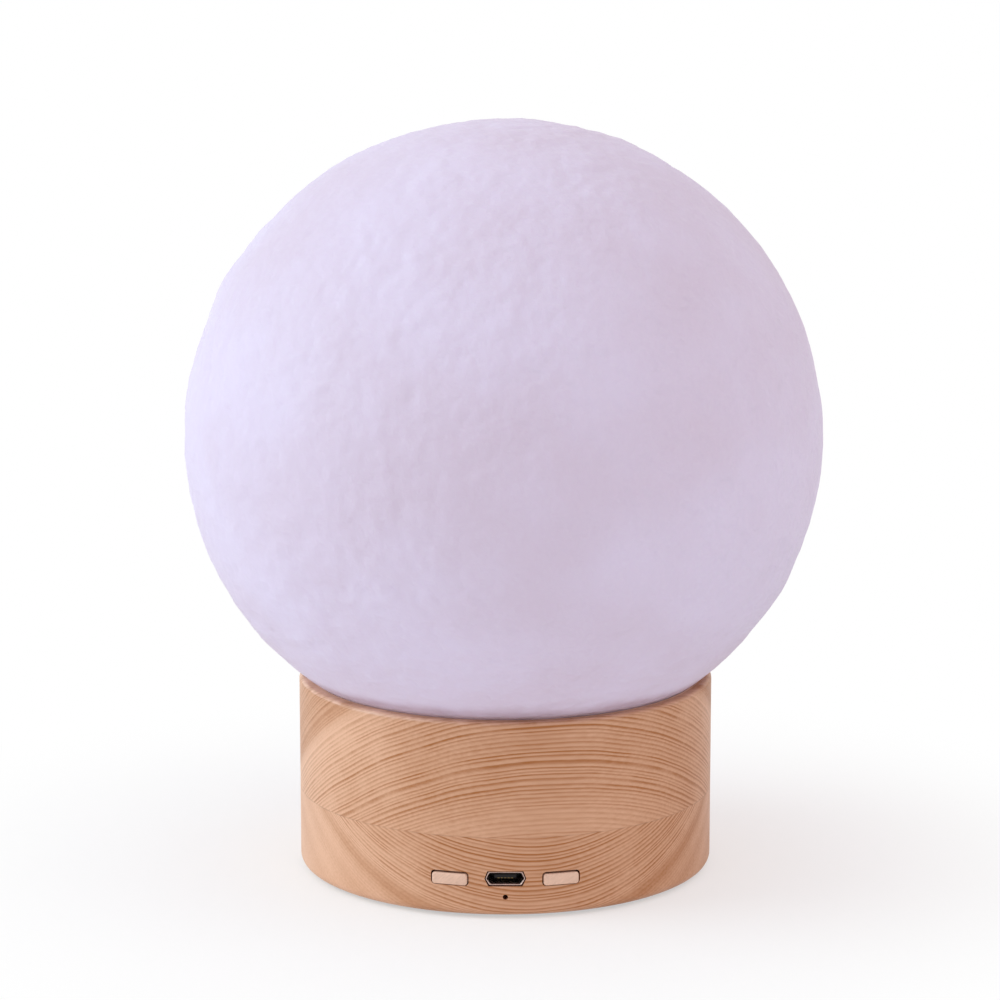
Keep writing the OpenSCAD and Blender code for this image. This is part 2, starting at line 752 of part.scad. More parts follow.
module globe_collar() color([0.9, 0.9, 0.9]) difference() {
    union() {
        rotate_extrude() {
            translate([collar_hole_r, collar_z]) square([flange_r - collar_hole_r, flange_t]);
            translate([spigot_r - spigot_t, collar_z]) square([spigot_t, flange_t + spigot_h]);
        }
        around(concat(lamp_screw_angles, collar_screw_angles), post_r)
            translate([0, 0, collar_z + flange_t / 2])
                cylinder(d = post_d, h = flange_t / 2 + post_h, $fn = 32);
    }
    around(lamp_screw_angles, post_r) translate([0, 0, lamp_board_top_z - lamp_screw_l])
        cylinder(d = lamp_screw_d + 2 * snug, h = lamp_screw_l, $fn = 24);
    around(collar_screw_angles, post_r) translate([0, 0, collar_z - past])
        cylinder(d = collar_screw_d + 2 * snug, h = collar_screw_bite + past, $fn = 24);
}

module collar_screws() color(steel) around(collar_screw_angles, post_r)
    translate([0, 0, ceiling_z]) mirror([0, 0, 1])
        screw(collar_screw_d, dish_floor_t + collar_screw_bite - screw_end_gap,
            collar_screw_head_d, collar_screw_head_t);

module lamp_board() color([0.93, 0.94, 0.95]) difference() {
    translate([0, 0, lamp_board_z]) cylinder(d = lamp_board_d, h = lamp_board_t);
    around(lamp_screw_angles, post_r) translate([0, 0, lamp_board_z - past])
        cylinder(d = lamp_screw_d + 4 * snug, h = lamp_board_t + 2 * past, $fn = 24);
}

module lamp_lights() color([0.98, 0.93, 0.6])
    for (i = [0:light_count - 1]) rotate([0, 0, (i + 0.5) * 360 / light_count])
        translate([light_ring_r - light_size[0] / 2, -light_size[1] / 2, lamp_board_top_z])
            difference() {
                cube(light_size);
                translate([light_size[0] / 2, light_size[1] / 2, light_size[2] - light_window_t])
                    cylinder(d = light_window_d, h = past, $fn = 24);
            }

module lamp_board_screws() color(steel) around(lamp_screw_angles, post_r)
    translate([0, 0, lamp_board_top_z]) screw(lamp_screw_d, lamp_screw_l - screw_end_gap,
        lamp_screw_head_d, lamp_screw_head_t);

// ---------- the pieces ----------

globe();
upper_board();
lower_board();
bottom_plate();
plate_screws();
rubber_feet();
left_button_cap();
right_button_cap();
left_switch_plunger();
right_switch_plunger();
left_switch_housing();
right_switch_housing();
control_board();
control_board_screws();
port_shell();
port_insert();
port_contacts();
status_led();
charge_chip();
chip_legs();
power_inductor();
chip_capacitors();
board_sockets();
battery_cell();
battery_pad();
battery_plug();
battery_leads();
lamp_plug();
lamp_leads();
lamp_board();
lamp_lights();
lamp_board_screws();
globe_collar();
collar_screws();
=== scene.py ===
import math

import bmesh
import bpy
from mathutils import Matrix, Vector, noise


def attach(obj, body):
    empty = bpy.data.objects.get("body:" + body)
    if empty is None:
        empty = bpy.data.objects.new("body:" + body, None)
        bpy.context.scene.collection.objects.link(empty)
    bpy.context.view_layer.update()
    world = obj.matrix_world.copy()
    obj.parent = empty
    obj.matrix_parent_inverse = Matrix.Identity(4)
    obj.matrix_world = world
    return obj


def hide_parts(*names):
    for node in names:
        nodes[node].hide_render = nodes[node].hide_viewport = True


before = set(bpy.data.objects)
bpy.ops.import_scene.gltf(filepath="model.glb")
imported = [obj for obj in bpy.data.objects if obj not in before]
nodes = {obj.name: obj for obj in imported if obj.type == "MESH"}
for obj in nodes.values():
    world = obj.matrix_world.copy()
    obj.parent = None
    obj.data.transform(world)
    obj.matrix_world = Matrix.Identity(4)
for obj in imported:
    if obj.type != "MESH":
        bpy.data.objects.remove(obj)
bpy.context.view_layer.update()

mm = 0.001
print("frame loaded:", len(nodes), "nodes")


def addNode(tree, kind, inputs=None, **settings):
    # inputs go by socket name or number; an output socket is linked, anything else is set
    node = tree.nodes.new(kind)
    for name, value in settings.items():
        setattr(node, name, value)
    for key, value in (inputs or {}).items():
        if isinstance(value, bpy.types.NodeSocket):
            tree.links.new(value, node.inputs[key])
        else:
            node.inputs[key].default_value = value
    return node


def addMath(tree, operation, first, second=0.0, third=0.0, clamp=False):
    inputs = {0: first, 1: second, 2: third}
    return addNode(tree, "ShaderNodeMath", inputs, operation=operation, use_clamp=clamp).outputs[0]


def addVectorMath(tree, operation, first, second=(0, 0, 0), scale=1.0):
    inputs = {0: first, 1: second, 3: scale}
    node = addNode(tree, "ShaderNodeVectorMath", inputs, operation=operation)
    return node.outputs["Value" if operation in ("DOT_PRODUCT", "LENGTH") else "Vector"]


def addSwing(tree, value, size, onto, clamp=False):
    # what value lies above or below its middle, times size, on top of another value
    centred = addMath(tree, "SUBTRACT", value, 0.5)
    return addMath(tree, "MULTIPLY_ADD", centred, size, onto, clamp)


def addRange(tree, value, low, high, toLow=0.0, toHigh=1.0, smooth=True):
    inputs = {"Value": value, "From Min": low, "From Max": high, "To Min": toLow, "To Max": toHigh}
    kind = "SMOOTHSTEP" if smooth else "LINEAR"
    return addNode(tree, "ShaderNodeMapRange", inputs, interpolation_type=kind).outputs["Result"]


def addMix(tree, factor, first, second):
    inputs = {0: factor, 6: first, 7: second}
    return addNode(tree, "ShaderNodeMix", inputs, data_type="RGBA").outputs[2]


def addNoise(tree, vector, scale, detail=2.0, roughness=0.5):
    inputs = {"Vector": vector, "Scale": scale, "Detail": detail, "Roughness": roughness}
    return addNode(tree, "ShaderNodeTexNoise", inputs).outputs["Fac"]


def addSeen(tree):
    # 1 for what the camera, a mirror or a glass sees, 0 for the light that falls on things
    path = addNode(tree, "ShaderNodeLightPath").outputs
    seen = addMath(tree, "MAXIMUM", path["Is Camera Ray"], path["Is Glossy Ray"])
    return addMath(tree, "MAXIMUM", seen, path["Is Transmission Ray"])


stageValues = {
    "cameraPlace": (0, -0.7626, 0.2304),
    "cameraPitch": 0.203,          # radians below level
    "cameraNear": 0.01,
    "lens": 141.9,
    "shiftX": -0.00536,
    "worldStrength": 0.74,
    "worldColour": (1.0, 0.935, 0.935),
    "lampAim": (0, 0, 0.07),
    "keyPlace": (-1.1, -0.1, 0.75),
    "keySize": 0.9,
    "keyPower": 7.6,
    "keyColour": (0.76, 0.95, 1.0),
    "sidePlace": (0.75, -0.25, 0.95),
    "sideSize": 0.7,
    "sidePower": 1.5,
    "sideColour": (1.0, 0.93, 0.92),
    "floorReach": 6,
    "floorColour": 0.95,
    "floorPlain": 0.5,             # how white the floor is beside the lamp, where its shadow falls
    "floorWhitens": (0.05, 0.14),  # distances from the lamp between which it turns wholly white
}


def makeCamera(v):
    camera = bpy.data.objects.new("camera", bpy.data.cameras.new("camera"))
    camera.location = v["cameraPlace"]
    camera.rotation_euler = (math.pi / 2 - v["cameraPitch"], 0, 0)
    camera.data.lens = v["lens"]
    camera.data.shift_x = v["shiftX"]
    camera.data.clip_start = v["cameraNear"]
    bpy.context.scene.collection.objects.link(camera)
    bpy.context.scene.camera = camera


def makeRoom(v):
    # white to the camera and to mirrors, softer as light
    world = bpy.data.worlds.new("paleRoom")
    bpy.context.scene.world = world
    world.use_nodes = True
    tree = world.node_tree
    light = tree.nodes["Background"]
    light.inputs["Color"].default_value = (*v["worldColour"], 1)
    light.inputs["Strength"].default_value = v["worldStrength"]
    white = addNode(tree, "ShaderNodeBackground", {"Color": (1, 1, 1, 1), "Strength": 1.0})
    mixed = addNode(tree, "ShaderNodeMixShader",
                    {0: addSeen(tree), 1: light.outputs[0], 2: white.outputs[0]})
    tree.links.new(mixed.outputs[0], tree.nodes["World Output"].inputs["Surface"])


def makeLamp(v, name):
    lamp = bpy.data.objects.new(name, bpy.data.lights.new(name, "AREA"))
    lamp.data.shape = "DISK"
    lamp.data.size = v[name + "Size"]
    lamp.data.energy = v[name + "Power"]
    lamp.data.color = v[name + "Colour"]
    lamp.location = v[name + "Place"]
    aim = Vector(v["lampAim"]) - lamp.location
    lamp.rotation_euler = aim.to_track_quat("-Z", "Y").to_euler()
    bpy.context.scene.collection.objects.link(lamp)


def makeFloor(v):
    mesh = bpy.data.meshes.new("floor")
    shape = bmesh.new()
    bmesh.ops.create_grid(shape, x_segments=1, y_segments=1, size=v["floorReach"])
    shape.to_mesh(mesh)
    shape.free()
    floor = bpy.data.objects.new("floor", mesh)
    bpy.context.scene.collection.objects.link(floor)
    material = bpy.data.materials.new("paleFloor")
    material.use_nodes = True
    tree = material.node_tree
    tree.nodes.clear()
    away = addVectorMath(tree, "LENGTH", addNode(tree, "ShaderNodeTexCoord").outputs["Object"])
    whiteness = addRange(tree, away, *v["floorWhitens"], v["floorPlain"], 1.0)
    amount = addMath(tree, "MULTIPLY", addSeen(tree), whiteness)
    paint = addNode(tree, "ShaderNodeBsdfDiffuse", {"Color": (v["floorColour"],) * 3 + (1,)})
    white = addNode(tree, "ShaderNodeEmission", {"Color": (1, 1, 1, 1), "Strength": 1.0})
    mixed = addNode(tree, "ShaderNodeMixShader",
                    {0: amount, 1: paint.outputs[0], 2: white.outputs[0]})
    addNode(tree, "ShaderNodeOutputMaterial", {"Surface": mixed.outputs[0]})
    mesh.materials.append(material)


bpy.context.scene.view_settings.view_transform = "Standard"
makeCamera(stageValues)
makeRoom(stageValues)
makeLamp(stageValues, "key")
makeLamp(stageValues, "side")
makeFloor(stageValues)
print("camera, light and floor ready")


def newGroup(name, inputs, outputs):
    group = bpy.data.node_groups.new(name, "ShaderNodeTree")
    sides = group.interface
    for label, kind, value in inputs:
        socket = sides.new_socket(label, in_out="INPUT", socket_type="NodeSocket" + kind)
        if value is not None:
            socket.default_value = value
    for label, kind in outputs:
        sides.new_socket(label, in_out="OUTPUT", socket_type="NodeSocket" + kind)
    given, result = group.nodes.new("NodeGroupInput"), group.nodes.new("NodeGroupOutput")
    return group, given.outputs, result.inputs


grainValues = {
    "drawnOut": 0.94,            # how far noise is drawn out along the fibres, to make streaks
    "waveScale": 75,
    "wave": 0.0007,              # how far a ring wavers, in metres
    "groupPace": 0.23,           # good and poor years come in slow groups of rings
    "groupSwing": 2.2,
    "lineComes": (0.22, 0.74),   # where a ring's dark line comes and where it goes
    "lineGoes": (0.84, 1.0),
    "lineStrengths": (0.45, 1.1),
    "breakScale": 240,
    "breaks": (0.25, 0.6, 0.5, 1.0),
    "lineTone": 0.7,             # how much darker a line is, and how much paler is the wood between
    "betweenTone": -0.24,
    "fineScale": 2400,
    "fineTone": 0.4,
    "patchScale": 75,
    "patchTone": 0.36,
    "roughness": 0.46,
    "lineRoughness": -0.08,
    "fineRoughness": 0.2,
    "lineHeight": 0.5,
    "fineHeight": 0.6,
}


def makeWoodGrain(v):
    # thin dark late lines across the depth into the log, over a tone that changes by the year
    tree, given, result = newGroup("woodGrain", [
        ("Vector", "Vector", None),
        ("Depth", "Float", 0.0),             # metres across the rings
        ("Along Fibres", "Vector", (1, 0, 0)),
        ("Ring Gap", "Float", 0.00083),
        ("Line Strength", "Float", 1.0),
        ("Tone", "Float", 0.5),
        ("Pale", "Color", (0.7, 0.4, 0.3, 1)),
        ("Dark", "Color", (0.4, 0.15, 0.05, 1)),
    ], [("Color", "Color"), ("Roughness", "Float"), ("Height", "Float")])
    place = given["Vector"]
    along = addVectorMath(tree, "DOT_PRODUCT", place, given["Along Fibres"])
    # the same place with its run along the fibres squeezed, so that noise comes out in streaks
    squeeze = addMath(tree, "MULTIPLY", along, -v["drawnOut"])
    pull = addVectorMath(tree, "SCALE", given["Along Fibres"], scale=squeeze)
    streaks = addVectorMath(tree, "ADD", place, pull)
    depth = addSwing(tree, addNoise(tree, place, v["waveScale"], 1), v["wave"], given["Depth"])
    count = addMath(tree, "DIVIDE", depth, given["Ring Gap"])
    pace = addMath(tree, "MULTIPLY", count, v["groupPace"])
    groups = addNode(tree, "ShaderNodeTexNoise", {"W": pace, "Scale": 1.0, "Detail": 1.0},
                     noise_dimensions="1D").outputs["Fac"]
    count = addMath(tree, "MULTIPLY_ADD", groups, v["groupSwing"], count)
    turn = addMath(tree, "FRACT", count)
    comes = addRange(tree, turn, *v["lineComes"])
    goes = addRange(tree, turn, *v["lineGoes"], 1.0, 0.0)
    each = addNode(tree, "ShaderNodeTexWhiteNoise", {"W": addMath(tree, "FLOOR", count)},
                   noise_dimensions="1D").outputs["Value"]
    strength = addRange(tree, each, 0.0, 1.0, *v["lineStrengths"], smooth=False)
    broken = addRange(tree, addNoise(tree, streaks, v["breakScale"], 2), *v["breaks"])
    line = addMath(tree, "MULTIPLY", addMath(tree, "MULTIPLY", comes, goes),
                   addMath(tree, "MULTIPLY", strength, broken))
    lines = addMath(tree, "MULTIPLY_ADD", line, v["lineTone"], v["betweenTone"])
    lines = addMath(tree, "MULTIPLY", lines, given["Line Strength"])
    fine = addNoise(tree, streaks, v["fineScale"], 2, 0.6)
    patch = addNoise(tree, place, v["patchScale"], 3)
    amount = addMath(tree, "ADD", given["Tone"], lines)
    amount = addSwing(tree, fine, v["fineTone"], amount)
    amount = addSwing(tree, patch, v["patchTone"], amount, clamp=True)
    tree.links.new(addMix(tree, amount, given["Pale"], given["Dark"]), result["Color"])
    rough = addMath(tree, "MULTIPLY_ADD", line, v["lineRoughness"], v["roughness"])
    tree.links.new(addSwing(tree, fine, v["fineRoughness"], rough), result["Roughness"])
    height = addMath(tree, "MULTIPLY", line, v["lineHeight"])
    tree.links.new(addSwing(tree, fine, v["fineHeight"], height), result["Height"])
    return tree


skinValues = {
    "mottle": 0.7,
    "grain": 0.3,
    "roughnessSwing": 0.3,
    "depth": 0.00005,            # metres of relief at full bump
}


def makeMouldedGrain(v):
    # the skin of a moulded or rubbed surface: slow mottling and fine grain
    tree, given, result = newGroup("mouldedGrain", [
        ("Vector", "Vector", None),
        ("Grain Scale", "Float", 3000.0),
        ("Mottle Scale", "Float", 150.0),
        ("Colour", "Color", (0.5, 0.5, 0.5, 1)),
        ("Contrast", "Float", 0.12),
        ("Roughness", "Float", 0.5),
    ], [("Color", "Color"), ("Roughness", "Float"), ("Height", "Float")])
    grain = addNoise(tree, given["Vector"], given["Grain Scale"], 3)
    mottle = addNoise(tree, given["Vector"], given["Mottle Scale"], 3)
    both = addMath(tree, "MULTIPLY_ADD", mottle, v["mottle"],
                   addMath(tree, "MULTIPLY", grain, v["grain"]))
    level = addSwing(tree, both, given["Contrast"], 1.0)
    rough = addSwing(tree, both, v["roughnessSwing"], given["Roughness"], clamp=True)
    tree.links.new(addVectorMath(tree, "SCALE", given["Colour"], scale=level), result["Color"])
    tree.links.new(rough, result["Roughness"])
    tree.links.new(grain, result["Height"])
    return tree


metalValues = {
    "tarnishAndPaintedShadeScale": 420,
    "stains": (0.42, 0.8, 0.0, 0.7),
    "roughnessSwing": 0.35,
    "depth": 0.00003,
}


def makeMetalMarks(v):
    # drawn or rolled metal: long faint scratches one way, and a little tarnish
    tree, given, result = newGroup("metalMarks", [
        ("Vector", "Vector", None),
        ("Squeeze", "Vector", (1, 1, 0.05)),
        ("Mark Scale", "Float", 4000.0),
        ("Colour", "Color", (0.6, 0.6, 0.62, 1)),
        ("Tarnish", "Color", (0.4, 0.38, 0.36, 1)),
        ("Roughness", "Float", 0.25),
    ], [("Color", "Color"), ("Roughness", "Float"), ("Height", "Float")])
    pulled = addVectorMath(tree, "MULTIPLY", given["Vector"], given["Squeeze"])
    marks = addNoise(tree, pulled, given["Mark Scale"], 3)
    tarnishAndPaintedShade = addRange(tree, addNoise(tree, given["Vector"], v["tarnishAndPaintedShadeScale"], 4), *v["stains"])
    rough = addSwing(tree, marks, v["roughnessSwing"], given["Roughness"], clamp=True)
    tree.links.new(addMix(tree, tarnishAndPaintedShade, given["Colour"], given["Tarnish"]), result["Color"])
    tree.links.new(rough, result["Roughness"])
    tree.links.new(marks, result["Height"])
    return tree


woodGrain = makeWoodGrain(grainValues)
mouldedGrain = makeMouldedGrain(skinValues)
metalMarks = makeMetalMarks(metalValues)


def newMaterial(name):
    material = bpy.data.materials.new(name)
    material.use_nodes = True
    tree = material.node_tree
    place = addNode(tree, "ShaderNodeTexCoord").outputs["Object"]
    return material, tree, tree.nodes["Principled BSDF"], place


def finishMaterial(tree, shader, effect, bump, depth):
    tree.links.new(effect.outputs["Color"], shader.inputs["Base Color"])
    tree.links.new(effect.outputs["Roughness"], shader.inputs["Roughness"])
    raised = addNode(tree, "ShaderNodeBump",
                     {"Height": effect.outputs["Height"], "Strength": bump, "Distance": depth})
    tree.links.new(raised.outputs["Normal"], shader.inputs["Normal"])


def mouldedMaterial(name, colour, roughness=0.5, contrast=0.12, grain=3000, mottle=150,
                    bump=0.15, specular=0.5):
    material, tree, shader, place = newMaterial(name)
    effect = addNode(tree, "ShaderNodeGroup", {
        "Vector": place, "Grain Scale": grain, "Mottle Scale": mottle,
        "Colour": (*colour, 1), "Contrast": contrast, "Roughness": roughness,
    }, node_tree=mouldedGrain)
    finishMaterial(tree, shader, effect, bump, skinValues["depth"])
    shader.inputs["Specular IOR Level"].default_value = specular
    return material


def metalMaterial(name, colour, tarnish, roughness=0.25, squeeze=(1, 1, 0.05), marks=4000,
                  bump=0.1):
    material, tree, shader, place = newMaterial(name)
    effect = addNode(tree, "ShaderNodeGroup", {
        "Vector": place, "Squeeze": squeeze, "Mark Scale": marks,
        "Colour": (*colour, 1), "Tarnish": (*tarnish, 1), "Roughness": roughness,
    }, node_tree=metalMarks)
    finishMaterial(tree, shader, effect, bump, metalValues["depth"])
    shader.inputs["Metallic"].default_value = 1.0
    return material


def dress(node, material):
    mesh = nodes[node].data
    mesh.materials.clear()
    mesh.materials.append(material)


def addPiece(name, shape, material, body, slot, *replaced):
    mesh = bpy.data.meshes.new(name)
    bmesh.ops.recalc_face_normals(shape, faces=shape.faces)
    shape.to_mesh(mesh)
    shape.free()
    piece = bpy.data.objects.new(name, mesh)
    bpy.context.scene.collection.objects.link(piece)
    mesh.materials.append(material)
    for face in mesh.polygons:
        face.use_smooth = True
    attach(piece, body)
    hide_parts(*replaced)


globeValues = {
    "cells": 118,                # squares along each edge of the cube that is rounded into the ball
    "middle": 86.68,             # height of its centre; this and the other lengths are in mm
    "radius": 62.2,
    "tuck": 8.5,                 # how much tighter the arc is that carries it into the dish
    "tuckAngle": 66,             # degrees from the bottom at which that arc begins
    "wider": 0.4,                # the real ball is a little broad and low
    "lower": -0.4,
    "restZ": 38.7,               # rim of the dish
    "freeFrom": 1.0,             # from here above the rim, the full shape and relief come in
    "freeOver": 14.0,            # over this height
    "seatedRelief": 0.22,        # share of the relief that is left in the dish
    "seated": 0.36,              # how much nearer the dish it lies than the plain solid
    "proud": 0.03,               # how much further a lump may reach there, and how fast that grows
    "proudGrowth": 9,
    "aside": -0.3,               # it sits this far to the left in the dish
    "neckOuter": 23.4,
    "neckInner": 21.0,
    "neckTop": 31.95,
    "neckBottom": 29.95,
    "boreRise": 1.8,             # how far the bore goes on above the neck
    "boreRound": 1.2,            # and its round into the ball
    "wall": 2.0,
    "insideSteps": 25,
    # heights of the relief, and how much each has of a smooth part and a creased or rough part
    "basins": 0.34,
    "basinParts": (0.8, 0.5),
    "creaseLevel": 0.25,
    "swells": 0.16,
    "swellParts": (0.6, 0.6),
    "dimples": 0.13,
    "dimpleParts": (0.4, 1.1),
    # how fine each is, and where in the noise it is cut; one unit of noise is 62 mm / scale
    "basinNoise": (3.1, (4.3, 1.7, 9.2)),
    "creaseNoise": (5.2, (1.1, 7.3, 2.2)),
    "swellNoise": (13, (8.1, 3.3, 0.4)),
    "dimpleNoise": (30, (2.6, 5.9, 7.7)),
    "roughNoise": (2.3, (3.1, 0.2, 6.4)),
    "basinLayers": (0.9, 2.0, 3),    # fall-off, step in fineness and number of layers
    "swellLayers": (0.8, 2.1, 3),
    "smoothSide": (0.8, 0.25, -0.2),
    "smoothness": 0.45,
    "roughSwing": 0.9,
    # lumps in the outline: direction from the middle, height, spread in radians
    "lumps": [((-0.877, -0.05, 0.48), 0.55, 0.085), ((-0.93, -0.05, 0.36), -0.3, 0.07),
              ((-0.38, 0.0, 0.925), 0.25, 0.06), ((-0.75, 0.0, 0.66), -0.2, 0.12)],
}


def globeRadius(v, fromBottom):
    # the ball's round above, and the tighter arc that carries it into the dish below
    tuckAngle = math.radians(v["tuckAngle"])
    if fromBottom >= tuckAngle:
        return v["radius"]
    offX, offZ = v["tuck"] * math.sin(tuckAngle), v["tuck"] * math.cos(tuckAngle)
    lean = offX * math.sin(fromBottom) + offZ * math.cos(fromBottom)
    return lean + math.sqrt(lean ** 2 - v["tuck"] ** 2 + (v["radius"] - v["tuck"]) ** 2)


def noisePlace(direction, cut):
    scale, start = cut
    return direction * scale + Vector(start)


def howRough(v, d):
    # one side came out of the mould rougher than the other
    x, y, z = v["smoothSide"]
    side = 0.5 - v["smoothness"] * (x * d.x + y * d.y + z * d.z)
    swing = v["roughSwing"] * noise.noise(noisePlace(d, v["roughNoise"]))
    return max(0.0, min(1.0, side + swing))


def relief(v, d):
    # how far the surface stands out, in mm, in the direction d from the middle
    basin = noise.fractal(noisePlace(d, v["basinNoise"]), *v["basinLayers"])
    crease = -abs(noise.noise(noisePlace(d, v["creaseNoise"]))) + v["creaseLevel"]
    swell = noise.fractal(noisePlace(d, v["swellNoise"]), *v["swellLayers"])
    dimple = noise.noise(noisePlace(d, v["dimpleNoise"]))
    rough = howRough(v, d)
    lumps = sum(height * math.exp(-((d - Vector(at)).length / spread) ** 2)
                for at, height, spread in v["lumps"])
    smoothPart, creasedPart = v["basinParts"]
    swellPlain, swellRough = v["swellParts"]
    dimplePlain, dimpleRough = v["dimpleParts"]
    return (v["basins"] * (smoothPart * basin + creasedPart * crease)
            + v["swells"] * swell * (swellPlain + swellRough * rough)
            + v["dimples"] * dimple * (dimplePlain + dimpleRough * rough)
            + lumps + v["aside"] * d.x)


def moveToRing(vertex, radius, height):
    # keeps the vertex's bearing from the lamp's axis; radius and height are in mm
    flat = Vector((vertex.co.x, vertex.co.y, 0)).normalized() * radius * mm
    vertex.co = Vector((flat.x, flat.y, height * mm))


def makeGlobe(v, material):
    shape = bmesh.new()
    bmesh.ops.create_cube(shape, size=2)
    bmesh.ops.subdivide_edges(shape, edges=shape.edges, cuts=v["cells"] - 1, use_grid_fill=True)
    for vertex in shape.verts:
        # even out the squares before they are rounded
        d = Vector([math.tan(c * math.pi / 4) for c in vertex.co]).normalized()
        plain = globeRadius(v, math.acos(max(-1, min(1, -d.z))))
        overRim = v["middle"] + plain * d.z - v["restZ"] - v["freeFrom"]
        free = max(0.0, min(1.0, overRim / v["freeOver"]))
        free = free * free * (3 - 2 * free)
        r = plain + free * (v["wider"] * (1 - d.z ** 2) + v["lower"] * d.z ** 2)
        r += (v["seatedRelief"] + (1 - v["seatedRelief"]) * free) * relief(v, d)
        r += v["seated"] * (1 - free)
        if free < 1:
            r = min(r, plain + v["seated"] + v["proud"] + v["proudGrowth"] * free)
        vertex.co = d * r * mm + Vector((0, 0, v["middle"] * mm))
    everything = list(shape.verts) + list(shape.edges) + list(shape.faces)
    bmesh.ops.bisect_plane(shape, geom=everything, dist=1e-7,
                           plane_co=(0, 0, v["neckTop"] * mm), plane_no=(0, 0, 1),
                           clear_inner=True)
    for vertex in [p for p in shape.verts if p.is_boundary]:
        moveToRing(vertex, v["neckOuter"], v["neckTop"])
    # down the neck, across its end, up its bore, and over the inside of the ball to the top
    inner = v["radius"] - v["wall"]
    steps = [(v["neckOuter"], v["neckBottom"]), (v["neckInner"], v["neckBottom"]),
             (v["neckInner"], v["neckTop"] + v["boreRise"])]
    start = math.acos((v["middle"] - v["neckTop"] - v["boreRise"] - v["boreRound"]) / inner)
    for i in range(1, v["insideSteps"]):
        a = start + (math.pi - start) * i / v["insideSteps"]
        r = globeRadius(v, a) - v["wall"]
        steps.append((r * math.sin(a), v["middle"] - r * math.cos(a)))
    rim = [e for e in shape.edges if e.is_boundary]
    for radius, height in steps:
        grown = bmesh.ops.extrude_edge_only(shape, edges=rim)["geom"]
        rim = [e for e in grown if isinstance(e, bmesh.types.BMEdge)]
        for vertex in [p for p in grown if isinstance(p, bmesh.types.BMVert)]:
            moveToRing(vertex, radius, height)
    last = [p for p in shape.verts if p.is_boundary]
    bmesh.ops.pointmerge(shape, verts=last, merge_co=(0, 0, (v["middle"] + inner) * mm))
    addPiece("moonGlobe", shape, material, "base", "globe", "globe")


globeLook = {
    "pale": (0.75, 0.685, 0.865),
    "rosy": (0.70, 0.612, 0.755),
    "cloudScale": 22,
    "clouds": (0.35, 0.68, 0.0, 0.84),
    "speckScale": 900,
    "speck": 0.16,
    # colour of the painted shade on the globe's foot, where it meets the dish
    "tarnishAndPaintedShade": (0.42, 0.27, 0.34),
    "paintedShadeHeights": (0.0396, 0.0442),    # full below the first, gone above the second
    "paintedShadeFoot": (0.0390, 0.0408, 0.1, 1),
    "tarnishAndPaintedShadeScale": 130,
    "paintedShadeWander": 0.0028,
    "roughness": 0.62,
    "roughnessSwing": 0.2,
    "specular": 0.3,
    "subsurface": 0.25,
    "subsurfaceScale": 0.0022,
    "subsurfaceSpread": (1.0, 0.85, 0.95),
    "patchScale": 30,
    "patchLean": 6.0,            # how much deeper the pitting gets towards the right
    "patches": (0.3, 0.95, 0.6, 1.6),
    "fineScale": 480,
    "fineBump": 0.4,
    "fineDepth": 0.0004,
    "softScale": 200,
    "softBump": 0.55,
    "softDepth": 0.0014,
}


def globeMaterial(v):
    material, tree, shader, place = newMaterial("moonSurface")
    spot = addNode(tree, "ShaderNodeSeparateXYZ", {0: place}).outputs
    cloud = addRange(tree, addNoise(tree, place, v["cloudScale"], 3, 0.55), *v["clouds"])
    speck = addNoise(tree, place, v["speckScale"], 3, 0.6)
    amount = addMath(tree, "MULTIPLY_ADD", speck, v["speck"], cloud)
    colour = addMix(tree, amount, (*v["pale"], 1), (*v["rosy"], 1))
    # painted shade, soft and uneven, on the globe just above where it sits in the wood
    wander = addNoise(tree, place, v["tarnishAndPaintedShadeScale"], 2)
    wander = addMath(tree, "MULTIPLY_ADD", wander, v["paintedShadeWander"], spot["Z"])
    tarnishAndPaintedShade = addMath(tree, "MULTIPLY", addRange(tree, wander, *v["paintedShadeHeights"], 1, 0),
                    addRange(tree, spot["Z"], *v["paintedShadeFoot"]))
    colour = addMix(tree, tarnishAndPaintedShade, colour, (*v["tarnishAndPaintedShade"], 1))
    tree.links.new(colour, shader.inputs["Base Color"])
    rough = addSwing(tree, speck, v["roughnessSwing"], v["roughness"])
    tree.links.new(rough, shader.inputs["Roughness"])
    # the pitting comes and goes in patches
    patch = addMath(tree, "MULTIPLY_ADD", spot["X"], v["patchLean"],
                    addNoise(tree, place, v["patchScale"], 2))
    patch = addRange(tree, patch, *v["patches"])
    soft = addMath(tree, "MULTIPLY", addNoise(tree, place, v["softScale"], 2), patch)
    fine = addMath(tree, "MULTIPLY", addNoise(tree, place, v["fineScale"], 1.5), patch)
    raised = addNode(tree, "ShaderNodeBump",
                     {"Height": soft, "Strength": v["softBump"], "Distance": v["softDepth"]})
    raised = addNode(tree, "ShaderNodeBump",
                     {"Height": fine, "Strength": v["fineBump"], "Distance": v["fineDepth"],
                      "Normal": raised.outputs["Normal"]})
    tree.links.new(raised.outputs["Normal"], shader.inputs["Normal"])
    shader.inputs["Specular IOR Level"].default_value = v["specular"]
    shader.inputs["Subsurface Weight"].default_value = v["subsurface"]
    shader.inputs["Subsurface Radius"].default_value = v["subsurfaceSpread"]
    shader.inputs["Subsurface Scale"].default_value = v["subsurfaceScale"]
    return material


makeGlobe(globeValues, globeMaterial(globeLook))
print("globe made")


